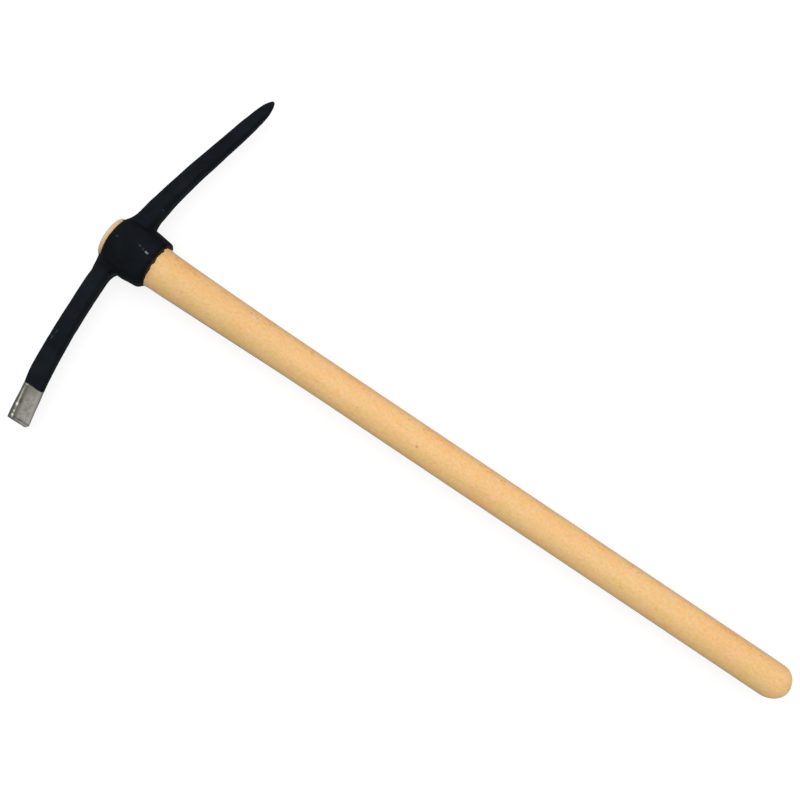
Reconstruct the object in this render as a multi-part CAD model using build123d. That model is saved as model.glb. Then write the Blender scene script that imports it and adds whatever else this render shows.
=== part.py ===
from build123d import *
from math import cos, radians, sin, tan
import os

# A pickaxe: a forged head with a point on one side and a narrow chisel on the other,
# wedged on a round handle of hardwood. The tool lies on its side. X runs along the
# handle from the head to the butt, Y runs across it from the chisel to the point, and
# Z is up. The origin lies below the middle of the tool, on the floor. All lengths are
# in millimetres and all angles in degrees. On an arm, height runs along the handle and
# depth is the thickness along Z.

# Handle
handle_length = 900.0
grip_radius = 21.1
neck_radius = 24.2  # where the handle leaves the eye
neck_length = 257.0  # from the eye to the straight grip
butt_length = 25.0  # of the rounded end
sawn_end_chamfer = 1.1
handle_proud = 6.1  # stands above the eye
tenon_spread = 0.9  # how much wider the wedges drive the sawn end than the bore
tenon_clearance = 0.3  # between the spread part and the head

# Eye of the head, which the handle is driven through
eye_height = 55.3
eye_belly_radius = 32.0
eye_top_radius = 31.0
eye_bottom_radius = 28.6
eye_lean = 1.5  # of its outside, against the handle
eye_shift = 0.7  # of its outside towards the point
bore_top_radius = 23.3
top_rim_slant = 2.0
top_rim_round = 6.6
bottom_rim_slant = 4.2
bottom_rim_chamfer = 5.0

# Chisel arm
chisel_reach = 228.9  # from the handle's axis
chisel_middle = 7.2  # of its root, below the top of the eye
chisel_drop = 15.1  # of its middle, from root to edge
chisel_end_slope = 12.0
chisel_root_height = 19.0
chisel_edge_height = 27.2
chisel_root_depth = 23.0
chisel_neck_depth = 11.0  # where the ground steel begins
chisel_swell_below = 15.0  # of its root, where it widens into the eye
chisel_worn_length = 12.0  # of the scale beside the ground steel
chisel_worn = 1.0  # how much it narrows there, from above
ground_length = 43.9
ground_step = 0.6  # the ground steel stands back from the scale on its two faces
ground_step_above = 0.65
ground_step_below = 0.05
ground_overlap = 1.0  # how far it runs on inside the painted arm
ground_chamfer = 2.2
bevel_length = 6.0
bevel_depth = 4.6
edge_flare = 0.7  # how much more the ground steel widens to its edge
facet_width_at_neck = 2.0  # ground along its upper edge, on both faces
facet_width_at_edge = 5.5
edge_depth = 1.2
edge_tilt = 1.7
edge_corner_above = 1.0  # radii of the worn corners of the cutting edge
edge_corner_below = 4.5
thinnest_chamfer_share = 1 / 3  # of the depth of a thin section

# Point arm, which ends in an ogive
point_reach = 224.2
point_middle = 15.7
point_drop = 44.3
point_root_slope = 4.6
point_end_slope = 10.0
point_root_height = 26.0
point_neck_height = 14.6  # where the ogive begins
point_root_taper = 9.0
point_neck_taper = 4.8
point_root_depth = 23.0
point_neck_depth = 13.5
point_swell_above = 4.0
point_swell_below = 5.0
ogive_length = 31.0
blunt_share = 0.22  # of the neck's size, left at the tip
blunt_chamfer = 0.8

# Both arms
arm_chamfer_share = 0.21  # of the smaller side of the section
arm_sink = 1.3  # how far an arm's root reaches into the bore, which is cut after it
swell_length = 20.0
swell_depth = 9.0  # on either side, at the root
arm_sections = 10
section_grading = 1.6  # how much closer together they lie at the root
ogive_sections = 5

# Wedges that spread the handle in the eye, driven in from its sawn end
wood_wedge_length = 40.0
wood_wedge_top = 5.0
wood_wedge_foot = 1.4
steel_wedge_length = 27.0
steel_wedge_width = 25.0
steel_wedge_top = 3.2
steel_wedge_foot = 0.8

eye_top = handle_proud
eye_bottom = eye_top + eye_height
eye_middle = (eye_top + eye_bottom) / 2
grip_start = eye_bottom + neck_length
grip_end = handle_length - butt_length
arm_root = bore_top_radius - arm_sink
chisel_neck = chisel_reach - ground_length
point_neck = point_reach - ogive_length

# Every solid is drawn with X measured from the sawn end of the handle, on its axis,
# and then moved to its place on the floor.
placed = Pos(-handle_length / 2, (chisel_reach - point_reach) / 2, eye_belly_radius)


def slope(angle):
    return tan(radians(angle))


def bore_radius(distance):
    """Radius of the tapered bore at this distance from the sawn end."""
    taper = (neck_radius - bore_top_radius) / eye_height
    return bore_top_radius + taper * (distance - eye_top)


def revolved(outline):
    """Solid of revolution about the handle's axis."""
    return revolve(make_face(outline), Axis.X)


def between(share, start, end, leaving, arriving):
    """Value on a cubic from start to end, with its slopes per whole span at both."""
    rest = 1 - share
    straight = start + (end - start) * share * share * (3 - 2 * share)
    return straight + share * rest * (leaving * rest - arriving * share)


def make_rims():
    """Slab between the two slanting rims of the eye."""
    side = 2 * eye_belly_radius
    outline = Polyline(
        (eye_top - side * slope(top_rim_slant), -side),
        (eye_top + side * slope(top_rim_slant), side),
        (eye_bottom + side * slope(bottom_rim_slant), side),
        (eye_bottom - side * slope(bottom_rim_slant), -side),
        close=True,
    )
    return extrude(make_face(outline), side, both=True)


def make_barrel():
    """Outside of the eye, widest at its belly, between its rims."""
    spare = eye_belly_radius * slope(max(top_rim_slant, bottom_rim_slant) + eye_lean)
    top = (eye_top - spare, eye_top_radius)
    belly = (eye_middle, eye_belly_radius)
    bottom = (eye_bottom + spare, eye_bottom_radius)
    side = TangentArc(belly, top, tangent=(-1, 0)) + TangentArc(belly, bottom, tangent=(1, 0))
    ends = Polyline(bottom, (bottom[0], 0), (top[0], 0), top)
    leaning = Pos(eye_middle, eye_shift) * Rot(0, 0, -eye_lean) * Pos(-eye_middle, 0)
    barrel = leaning * revolved(side + ends) & make_rims()
    barrel = fillet(barrel.edges().sort_by(Axis.X)[0], top_rim_round)
    return chamfer(barrel.edges().sort_by(Axis.X)[-1], bottom_rim_chamfer)


def section(across, middle, height, depth, corner, tilt=0.0, facet=None):
    """Octagon across an arm, from its Y, its X at mid height and its sizes.

    A facet replaces the chamfers along the upper edge by wider and flatter ones.
    """
    turn = radians(tilt)
    along = (cos(turn), sin(turn), 0)
    outward = (-sin(turn), cos(turn), 0)
    plane = Plane(origin=(middle, across, 0), x_dir=along, z_dir=outward)
    above = corner if facet is None else facet
    low, high = -height / 2, height / 2
    side = depth / 2
    outline = Polyline(
        (low + above, -side),
        (high - corner, -side),
        (high, corner - side),
        (high, side - corner),
        (high - corner, side),
        (low + above, side),
        (low, side - corner),
        (low, corner - side),
        close=True,
    )
    return plane * make_face(outline)


def arm_section(across, middle, height, depth, above=0.0, below=0.0):
    """Section across an arm that swells above, below and sideways towards the eye."""
    swell = max(0.0, 1 - (abs(across) - arm_root) / swell_length) ** 2
    middle += swell * (below - above) / 2
    height += swell * (below + above)
    depth += swell * 2 * swell_depth
    return section(across, middle, height, depth, arm_chamfer_share * min(height, depth))


def stations(neck):
    """Distances from the handle's axis at which an arm is drawn, closer at its root."""
    shares = [(step / arm_sections) ** section_grading for step in range(arm_sections + 1)]
    return [arm_root + (neck - arm_root) * share for share in shares]


def chisel_middle_at(across):
    span = chisel_reach - arm_root
    share = (across - arm_root) / span
    start = eye_top + chisel_middle
    return between(share, start, start + chisel_drop, 0, span * slope(chisel_end_slope))


def chisel_height_at(across):
    share = (across - arm_root) / (chisel_reach - arm_root)
    return chisel_root_height + (chisel_edge_height - chisel_root_height) * share**2


def make_painted_chisel():
    """Chisel arm from the eye to where its steel is ground bare."""
    taper = (chisel_neck_depth - chisel_root_depth) / (chisel_neck - arm_root)
    worn_start = chisel_neck - chisel_worn_length
    sections = []
    for across in sorted([*stations(chisel_neck), worn_start]):
        worn = chisel_worn * max(0.0, across - worn_start) / chisel_worn_length
        middle = chisel_middle_at(across) + worn / 2
        height = chisel_height_at(across) - worn
        depth = chisel_root_depth + taper * (across - arm_root)
        sections.append(arm_section(-across, middle, height, depth, 0.0, chisel_swell_below))
    return loft(sections)


def make_ground_chisel():
    """Ground end of the chisel, with the bevel of its cutting edge."""
    corner_lead = chisel_edge_height / 2 * sin(radians(edge_tilt))
    edge = chisel_reach - corner_lead
    sections = []
    above = []
    below = []
    for across, depth, tilt in (
        (chisel_neck - ground_overlap, chisel_neck_depth - 2 * ground_step, 0.0),
        (edge - bevel_length, bevel_depth, edge_tilt),
        (edge, edge_depth, edge_tilt),
    ):
        share = max(0.0, across - chisel_neck) / (edge - chisel_neck)
        height = chisel_height_at(across) + edge_flare * share
        height -= ground_step_above + ground_step_below
        middle = chisel_middle_at(across) + (ground_step_above - ground_step_below) / 2
        corner = min(ground_chamfer, depth * thinnest_chamfer_share)
        facet = facet_width_at_neck + (facet_width_at_edge - facet_width_at_neck) * share
        sections.append(section(-across, middle, height, depth, corner, tilt, facet))
        along = height / 2 * cos(radians(tilt))
        lead = height / 2 * sin(radians(tilt))
        above.append((middle - along, -across - lead))
        below.append((middle + along, -across + lead))
    plan = make_face(Polyline(*above, *reversed(below), close=True))
    end_corners = plan.vertices().sort_by(Axis.Y)[:2].sort_by(Axis.X)
    plan = fillet(end_corners[0], edge_corner_above)
    plan = fillet(plan.vertices().sort_by(Axis.X)[-1], edge_corner_below)
    return loft(sections, ruled=True) & extrude(plan, chisel_root_depth, both=True)


def point_middle_at(across):
    span = point_reach - arm_root
    share = (across - arm_root) / span
    start = eye_top + point_middle
    leaving = span * slope(point_root_slope)
    arriving = span * slope(point_end_slope)
    return between(share, start, start + point_drop, leaving, arriving)


def make_point():
    """Point arm with its ogive."""
    span = point_neck - arm_root
    leaving = -span * slope(point_root_taper)
    arriving = -span * slope(point_neck_taper)
    arm = []
    for across in stations(point_neck):
        share = (across - arm_root) / span
        height = between(share, point_root_height, point_neck_height, leaving, arriving)
        depth = point_root_depth + (point_neck_depth - point_root_depth) * share
        middle = point_middle_at(across)
        arm.append(
            arm_section(across, middle, height, depth, point_swell_above, point_swell_below)
        )
    ogive = []
    for step in range(ogive_sections + 1):
        share = step / ogive_sections
        across = point_neck + ogive_length * share
        size = 1 - (1 - blunt_share) * share**2
        height = point_neck_height * size
        depth = point_neck_depth * size
        ogive.append(arm_section(across, point_middle_at(across), height, depth))
    tip = loft(ogive)
    tip = chamfer(tip.faces().sort_by(Axis.Y)[-1].edges(), blunt_chamfer)
    return loft(arm) + tip


def make_head():
    """Forged head: the eye with its two arms, and the tapered bore through it."""
    head = make_barrel() + make_painted_chisel() + make_ground_chisel() + make_point()
    start = eye_top - eye_height
    end = eye_bottom + eye_height
    bore = Polyline(
        (start, 0), (start, bore_radius(start)), (end, bore_radius(end)), (end, 0), close=True
    )
    return head - revolved(bore)


def make_blank():
    """Round handle: tenon in the eye, neck, straight grip and rounded butt."""
    shoulder = (eye_bottom, neck_radius)
    rim_top = eye_top - eye_belly_radius * slope(top_rim_slant)
    arm_top = eye_top + chisel_middle - chisel_root_height / 2
    clear_of_head = min(rim_top, arm_top) - tenon_clearance
    spread = bore_radius(eye_top) + tenon_spread
    tenon = Polyline(
        (0, 0),
        (0, spread - sawn_end_chamfer),
        (sawn_end_chamfer, spread),
        (clear_of_head, bore_radius(clear_of_head)),
        shoulder,
    )
    neck = TangentArc((grip_start, grip_radius), shoulder, tangent=(-1, 0))
    grip = Line((grip_start, grip_radius), (grip_end, grip_radius))
    butt = EllipticalCenterArc((grip_end, 0), butt_length, grip_radius, 0, arc_size=90)
    axis = Line((handle_length, 0), (0, 0))
    return revolved(tenon + neck + grip + butt + axis)


def make_wedge(length, top, foot, width):
    """Wedge from the sawn end into the handle, with its thickness along Z."""
    outline = Polyline(
        (0, -top / 2), (length, -foot / 2), (length, foot / 2), (0, top / 2), close=True
    )
    return extrude(Plane.XZ * make_face(outline), width / 2, both=True)


blank = make_blank()
steel_wedge = Rot(90, 0, 0) * make_wedge(
    steel_wedge_length, steel_wedge_top, steel_wedge_foot, steel_wedge_width
)
wood_slab = make_wedge(wood_wedge_length, wood_wedge_top, wood_wedge_foot, 2 * eye_belly_radius)
parts = {
    "pick_head": make_head(),
    "handle": blank - wood_slab - steel_wedge,
    "wood_wedge": (blank & wood_slab) - steel_wedge,
    "steel_wedge": steel_wedge,
}

os.makedirs("parts", exist_ok=True)
for name, solid in parts.items():
    export_step(placed * solid, f"parts/{name}.step")
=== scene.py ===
import math

import bmesh
import bpy
import numpy as np
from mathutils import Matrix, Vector, noise


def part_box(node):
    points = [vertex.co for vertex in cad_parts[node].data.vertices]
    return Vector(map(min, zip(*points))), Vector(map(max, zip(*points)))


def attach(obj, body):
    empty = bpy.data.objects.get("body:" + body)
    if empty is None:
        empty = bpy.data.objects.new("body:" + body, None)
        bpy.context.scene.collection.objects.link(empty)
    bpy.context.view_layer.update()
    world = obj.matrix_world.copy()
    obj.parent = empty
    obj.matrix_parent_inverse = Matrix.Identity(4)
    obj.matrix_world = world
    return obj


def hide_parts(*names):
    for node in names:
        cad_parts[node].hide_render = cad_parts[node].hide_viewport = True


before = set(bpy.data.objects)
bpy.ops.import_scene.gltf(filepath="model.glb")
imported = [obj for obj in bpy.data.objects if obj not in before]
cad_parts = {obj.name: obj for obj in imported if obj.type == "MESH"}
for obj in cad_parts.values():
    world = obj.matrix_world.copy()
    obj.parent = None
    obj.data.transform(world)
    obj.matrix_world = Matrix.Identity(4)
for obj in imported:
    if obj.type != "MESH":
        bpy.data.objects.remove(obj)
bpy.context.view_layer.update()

MM = 0.001
BODY = "root"

# The places that the pieces are built from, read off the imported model.
handle_low, handle_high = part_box("handle")
head_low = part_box("pick_head")[0]
axis_y = (handle_low.y + handle_high.y) / 2
axis_z = (handle_low.z + handle_high.z) / 2
sawn_x, butt_x = handle_low.x, handle_high.x

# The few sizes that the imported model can't say by itself, in metres.
handle_proud = 6.1 * MM            # wood above the eye
eye_height = 55.3 * MM             # from the eye's upper rim to its lower rim
ground_length = 43.9 * MM          # bare steel at the end of the chisel arm
rim_x = sawn_x + handle_proud + eye_height
boundary_y = head_low.y + ground_length

PAINT_RUN = 0.1                    # mm that the paint runs on over the steel
PAINT_DEPTH = 0.45                 # mm that the steel lies deeper under the paint
FACET_AT_NECK = 3.5                # mm, width of the facet along the steel's upper edge
FACET_AT_EDGE = 5.3
BEVEL_STEP = 5.0                   # mm from the chisel's tip to the step before its bevel
BEVEL_SLANT = 1.8                  # mm less on the upper side

# All further places are in mm: x from the sawn end, y from the handle's axis.
# Painted highlights on the burred ridge of the facet: y, half length, strength and breadth.
RIDGE_GLINTS = [
    (-210.4, 2.2, 1.0, "burr_glint"),
    (-224.0, 2.4, 1.0, "burr_glint"),
    (-218.8, 1.8, 0.8, "ridge"),
    (-203.0, 15.0, 0.40, "ridge"),
]
# A lighter spot on the steel by the paint: x, y.
STEEL_PATCH = (14.6, -184.8)
# Where rust pits crowd behind the ridge: y, half length.
PIT_CLUSTER = (-205.3, 3.4)
# Rubs and chips in the paint: x, y, length, width, turn (degrees), strength.
MARKS = [
    (51.0, 7.9, 5.4, 2.6, -9, 0.72),
    (41.0, 10.2, 3.8, 1.8, -12, 0.17),
    (46.0, 8.9, 4.4, 1.6, -9, 0.11),
    (15.2, 5.4, 3.6, 2.8, 20, 0.09),
    (34.0, 56.5, 2.8, 2.0, 10, 0.09),
    (9.3, -127.0, 8.0, 1.7, 84, 0.11),
    (10.2, -119.5, 7.0, 1.5, 78, 0.09),
]
# Pin knots on the handle's upper side: x, y, radius, strength.
KNOTS = [
    (408.8, -4.0, 2.3, 0.50),
    (331.5, -4.6, 1.0, 0.45),
    (645.6, 2.6, 1.0, 0.45),
    (243.0, -3.5, 1.1, 0.3),
]

# How far the hand's work departs from the true form, in mm.
# The lower rim, drawn out by the punch, at places y across the eye from chisel to point.
RIM_ACROSS = [-27, -23, -20, -5, -1, 1, 3, 9, 16, 19, 23, 25]
RIM_DRAWN = [2.2, 2.8, 0.9, 1.6, 0.3, 0.2, 1.6, 0.0, 0.3, 1.0, -1.0, 1.3]
# The metal left on the upper edge of the point arm, at places y from the eye to the tip.
ARM_ALONG = [38, 60, 90, 115, 180, 205, 215, 220, 223.5]
ARM_FULL = [0, 0.5, 0.4, 1.1, 1.1, 0.8, 1.3, 0.9, 0]
CHISEL_ARM_FULL = 0.85             # metal left on the upper edge of the chisel arm
TIP_FULL = 0.55                    # and on the lower edge of the point's tip
UPPER_RIM_DRAWN = 0.7              # the upper rim, towards the sawn end
EYE_OUT_TO_POINT = 0.85            # the eye's walls, where they bulge
EYE_OUT_TO_CHISEL = 0.9
EYE_IN_BELOW = (1.4, 0.9)          # the wall by the lower rim, drawn in over two steps
STEEL_SET_UP = 0.5                 # the ground end, bent towards the sawn end
STEEL_NICKS = 0.35                 # hollows in the ground end's upper edge
RIM_BEAD = 0.45                    # wood shaved up all round by the lower rim
TORN_COLLAR = 1.75                 # and torn up on the point's side
END_SPREAD = 0.45                  # the sawn end, spread by its wedges
NECK_FULL = 0.40                   # the neck on the chisel's side
SHOULDER_FULL = 1.9                # the butt's shoulder on the point's side
SLOT_GAP = 0.14                    # between a wedge and its slot

# Colours, in linear light.
PAINT_TONES = ((0.0068, 0.0088, 0.0110), (0.0104, 0.0132, 0.0164))
PAINT_DUST = (0.014, 0.0148, 0.0158)
PAINT_BLUE = (0.0090, 0.0108, 0.0180)
PAINT_ON_EYE = (0.0042, 0.0052, 0.0066)
PAINT_SHADE_ON_SIDES = (0.0018, 0.0022, 0.0028)
RIM_WOOD_REFLECTION = (0.058, 0.036, 0.012)
RUBBED_STEEL = (0.30, 0.36, 0.40)
STEEL_TONES = ((0.158, 0.150, 0.128), (0.300, 0.286, 0.260))
STEEL_STREAKS = (0.33, 0.315, 0.285)
STEEL_STAIN = (0.150, 0.150, 0.112)
STEEL_LOWER_LIGHT = (0.315, 0.305, 0.280)
STEEL_SPECKS = (0.075, 0.068, 0.050)
STEEL_FACET = (0.078, 0.077, 0.070)
STEEL_BAND = (0.108, 0.106, 0.082)
STEEL_PITS = (0.026, 0.024, 0.017)
STEEL_GLINT = (0.95, 0.94, 0.89)
STEEL_LIGHTER = (0.42, 0.42, 0.40)
SCALE_IN_STEP = (0.055, 0.052, 0.042)
SCALE_AND_SHADE_ON_LIP = (0.040, 0.040, 0.034)
SCALE_AND_SHADE_ON_SIDES = (0.026, 0.025, 0.021)
WOOD_TONES = ((0.870, 0.570, 0.262), (0.850, 0.505, 0.210))
WOOD_ORANGE = (0.905, 0.500, 0.185)
WOOD_OLIVE = (0.800, 0.545, 0.190)
WOOD_PINK = (0.900, 0.520, 0.290)
WOOD_PALE = (0.930, 0.640, 0.330)
FLECK_HALO = (0.90, 0.40, 0.10)
FLECK_BROWN = (0.36, 0.185, 0.055)
KNOT_BROWN = (0.38, 0.175, 0.055)
WOOD_FLANK_SHADE = (0.33, 0.28, 0.24)
NECK_SHADOW = (0.040, 0.030, 0.022)
NECK_DARKER = (0.25, 0.17, 0.08)
NECK_GRIME = (0.50, 0.27, 0.11)
SAWN_PALE = (0.80, 0.66, 0.46)
SAWN_RIM = (0.36, 0.24, 0.13)
SAWN_CUTS = (0.42, 0.29, 0.16)
WEDGE_WOOD_TONES = ((0.80, 0.50, 0.24), (0.74, 0.42, 0.18))
WEDGE_STEEL_TONES = ((0.16, 0.155, 0.15), (0.36, 0.35, 0.335))
WEDGE_RUST = (0.17, 0.075, 0.035)

scene = bpy.context.scene


# ---------------------------------------------------------------- mesh tools
def points_of(mesh):
    """The places of a mesh's vertices in metres, one row each."""
    points = np.zeros(len(mesh.vertices) * 3, np.float32)
    mesh.vertices.foreach_get("co", points)
    return points.reshape(-1, 3).astype(float)


def normals_of(mesh):
    """The directions in which a mesh's vertices face, one row each."""
    normals = np.zeros(len(mesh.vertices) * 3, np.float32)
    mesh.vertices.foreach_get("normal", normals)
    return normals.reshape(-1, 3).astype(float)


def set_points(mesh, points):
    mesh.vertices.foreach_set("co", points.astype(np.float32).ravel())
    mesh.update()


def neighbour_mean(mesh, values):
    """The mean of each vertex's neighbours, for an array of one row a vertex."""
    edges = np.zeros(len(mesh.edges) * 2, np.int32)
    mesh.edges.foreach_get("vertices", edges)
    edges = edges.reshape(-1, 2)
    ends = np.concatenate([edges[:, 0], edges[:, 1]])
    others = np.concatenate([edges[:, 1], edges[:, 0]])
    count = np.maximum(np.bincount(ends, minlength=len(values)), 1)
    return np.stack(
        [np.bincount(ends, values[others, k], len(values)) / count for k in range(values.shape[1])],
        axis=1,
    )


def relax(mesh, rounds, pull=0.5, push=0.52):
    """Taubin smoothing: rounds the edges over without shrinking the form."""
    points = points_of(mesh)
    for _ in range(rounds):
        for share in (pull, -push):
            points = points + share * (neighbour_mean(mesh, points) - points)
    set_points(mesh, points)


def wobble(points, size, seed, stretch=(1, 1, 1)):
    """Smooth noise from -1 to 1 at each point, with bumps about `size` metres across."""
    where = points / (size * np.array(stretch)) + 31.7 * seed
    return np.array([noise.noise(Vector(p)) for p in where])


def eased(value):
    """0 to 1 with soft ends."""
    value = np.clip(value, 0, 1)
    return value * value * (3 - 2 * value)


def bell(value, start, full, fading, end):
    """Rises softly from start to full and falls again from fading to end."""
    return eased((value - start) / (full - start)) * eased((end - value) / (end - fading))


def add_piece(name, mesh, material, slot, *nodes):
    """A finished piece: it takes the place of the CAD nodes named, and rides on the one body."""
    piece = bpy.data.objects.new(name, mesh)
    scene.collection.objects.link(piece)
    mesh.materials.clear()
    mesh.materials.append(material)
    mesh.shade_smooth()
    if nodes:
        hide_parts(*nodes)
    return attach(piece, BODY)


def changed_by(mesh, kind, **settings):
    """The mesh as one modifier leaves it."""
    holder = bpy.data.objects.new("holder", mesh)
    scene.collection.objects.link(holder)
    modifier = holder.modifiers.new("change", kind)
    for key, value in settings.items():
        setattr(modifier, key, value)
    graph = bpy.context.evaluated_depsgraph_get()
    made = bpy.data.meshes.new_from_object(holder.evaluated_get(graph))
    bpy.data.objects.remove(holder)
    return made


def cut_square(work, plane_y, keep_above):
    """Cuts a bmesh along a plane across Y, drops what lies on one side and closes the cut."""
    bmesh.ops.bisect_plane(
        work,
        geom=list(work.verts) + list(work.edges) + list(work.faces),
        plane_co=(0, plane_y, 0),
        plane_no=(0, 1, 0),
        clear_inner=keep_above,
        clear_outer=not keep_above,
    )
    rim = [edge for edge in work.edges if edge.is_boundary]
    bmesh.ops.holes_fill(work, edges=rim)


def cut_copy(node, plane_y=None, keep_above=True):
    """A closed copy of a CAD node's mesh, or of the part of it on one side of a plane across Y."""
    work = bmesh.new()
    work.from_mesh(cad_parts[node].data)
    bmesh.ops.remove_doubles(work, verts=work.verts, dist=0.002 * MM)
    if plane_y is not None:
        cut_square(work, plane_y, keep_above)
    mesh = bpy.data.meshes.new(node + "_copy")
    work.to_mesh(mesh)
    work.free()
    return mesh


def trimmed(mesh, plane_y):
    """The mesh cut off square below a plane across Y, and closed there."""
    work = bmesh.new()
    work.from_mesh(mesh)
    cut_square(work, plane_y, keep_above=True)
    bmesh.ops.triangulate(work, faces=[face for face in work.faces if len(face.verts) > 4])
    made = bpy.data.meshes.new("trimmed")
    work.to_mesh(made)
    work.free()
    return made


def store(mesh, name, values):
    """Keeps one number a vertex on the mesh, for its material."""
    attribute = mesh.attributes.new(name, "FLOAT", "POINT")
    attribute.data.foreach_set("value", values.astype(np.float32))


def worn_edges(mesh, rounds, reach):
    """Stores how far each vertex stands out from its neighbourhood, 0 to 1, as 'edge'."""
    points, normals = points_of(mesh), normals_of(mesh)
    around = points
    for _ in range(rounds):
        around = neighbour_mean(mesh, around)
    standing = ((points - around) * normals).sum(axis=1) / reach
    store(mesh, "edge", np.clip(standing, 0, 1))


# ------------------------------------------------------------ material tools
class Shade:
    """A material's node tree, with short calls for what the materials below repeat."""

    def __init__(self, name):
        self.material = bpy.data.materials.new(name)
        self.material.use_nodes = True
        self.tree = self.material.node_tree
        self.tree.nodes.clear()
        place = self.node("ShaderNodeTexCoord").outputs["Object"]
        scaled = self.node("ShaderNodeVectorMath", {0: place, "Scale": 1 / MM}, operation="SCALE")
        self.millimetres = scaled.outputs[0]

    def node(self, kind, inputs=None, **settings):
        """A new node. inputs: a value or a socket for each input named or numbered."""
        made = self.tree.nodes.new(kind)
        for key, value in settings.items():
            setattr(made, key, value)
        for key, value in (inputs or {}).items():
            if isinstance(value, bpy.types.NodeSocket):
                self.tree.links.new(value, made.inputs[key])
            else:
                made.inputs[key].default_value = value
        return made

    def maths(self, operation, a, b=0.0):
        return self.node("ShaderNodeMath", {0: a, 1: b}, operation=operation).outputs[0]

    def plus(self, a, b):
        return self.maths("ADD", a, b)

    def minus(self, a, b):
        return self.maths("SUBTRACT", a, b)

    def times(self, a, b):
        return self.maths("MULTIPLY", a, b)

    def squared(self, a):
        return self.maths("MULTIPLY", a, a)

    def most(self, a, b):
        return self.maths("MAXIMUM", a, b)

    def length(self, vector):
        return self.node("ShaderNodeVectorMath", {0: vector}, operation="LENGTH").outputs["Value"]

    def axes(self, vector):
        return self.node("ShaderNodeSeparateXYZ", {0: vector}).outputs

    def noise(self, size, stretch=(1, 1, 1), detail=3.0, rough=0.55, shift=0.0):
        """Noise from 0 to 1 with bumps about `size` millimetres across, stretched along an axis."""
        share = tuple(1 / (size * s) for s in stretch)
        where = self.node(
            "ShaderNodeVectorMath",
            {0: self.millimetres, 1: share, 2: (shift, shift * 1.7, shift * 0.6)},
            operation="MULTIPLY_ADD",
        ).outputs[0]
        made = self.node(
            "ShaderNodeTexNoise",
            {"Vector": where, "Scale": 1.0, "Detail": detail, "Roughness": rough},
        )
        return made.outputs["Fac"]

    def cells(self, size, stretch=(1, 1, 1), shift=0.0):
        """Scattered cells about `size` millimetres across, each with its own colour."""
        share = tuple(1 / (size * s) for s in stretch)
        where = self.node(
            "ShaderNodeVectorMath",
            {0: self.millimetres, 1: share, 2: (shift, shift * 1.3, shift * 0.7)},
            operation="MULTIPLY_ADD",
        ).outputs[0]
        return self.node("ShaderNodeTexVoronoi", {"Vector": where, "Scale": 1.0})

    def ramp(self, value, low, high, out_low=0.0, out_high=1.0, smooth=True):
        """Takes the range from low to high to the range from out_low to out_high, and clamps it."""
        kind = "SMOOTHSTEP" if smooth else "LINEAR"
        inputs = {"Value": value, "From Min": low, "From Max": high, "To Min": out_low, "To Max": out_high}
        return self.node("ShaderNodeMapRange", inputs, interpolation_type=kind).outputs[0]

    def mix(self, share, a, b):
        """Colour a, with `share` of it replaced by colour b."""
        made = self.node("ShaderNodeMix", data_type="RGBA")
        for index, value in ((0, share), (6, a), (7, b)):
            if isinstance(value, bpy.types.NodeSocket):
                self.tree.links.new(value, made.inputs[index])
            elif index:
                made.inputs[index].default_value = (*value, 1)
            else:
                made.inputs[index].default_value = value
        return made.outputs[2]

    def bump(self, height, depth, below=None):
        """Relief of `depth` millimetres between heights 0 and 1."""
        inputs = {"Height": height, "Strength": 1.0, "Distance": depth * MM}
        if below is not None:
            inputs["Normal"] = below
        return self.node("ShaderNodeBump", inputs).outputs[0]

    def attribute(self, name):
        return self.node("ShaderNodeAttribute", attribute_name=name).outputs["Fac"]

    def finish(self, colour, roughness, normal, metallic=0.0, **fixed):
        """The finished material. fixed: settings of the shader that are the same all over."""
        inputs = {"Base Color": colour, "Roughness": roughness, "Normal": normal, "Metallic": metallic}
        inputs.update(fixed)
        shader = self.node("ShaderNodeBsdfPrincipled", inputs).outputs[0]
        self.node("ShaderNodeOutputMaterial", {"Surface": shader})
        return self.material


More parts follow.
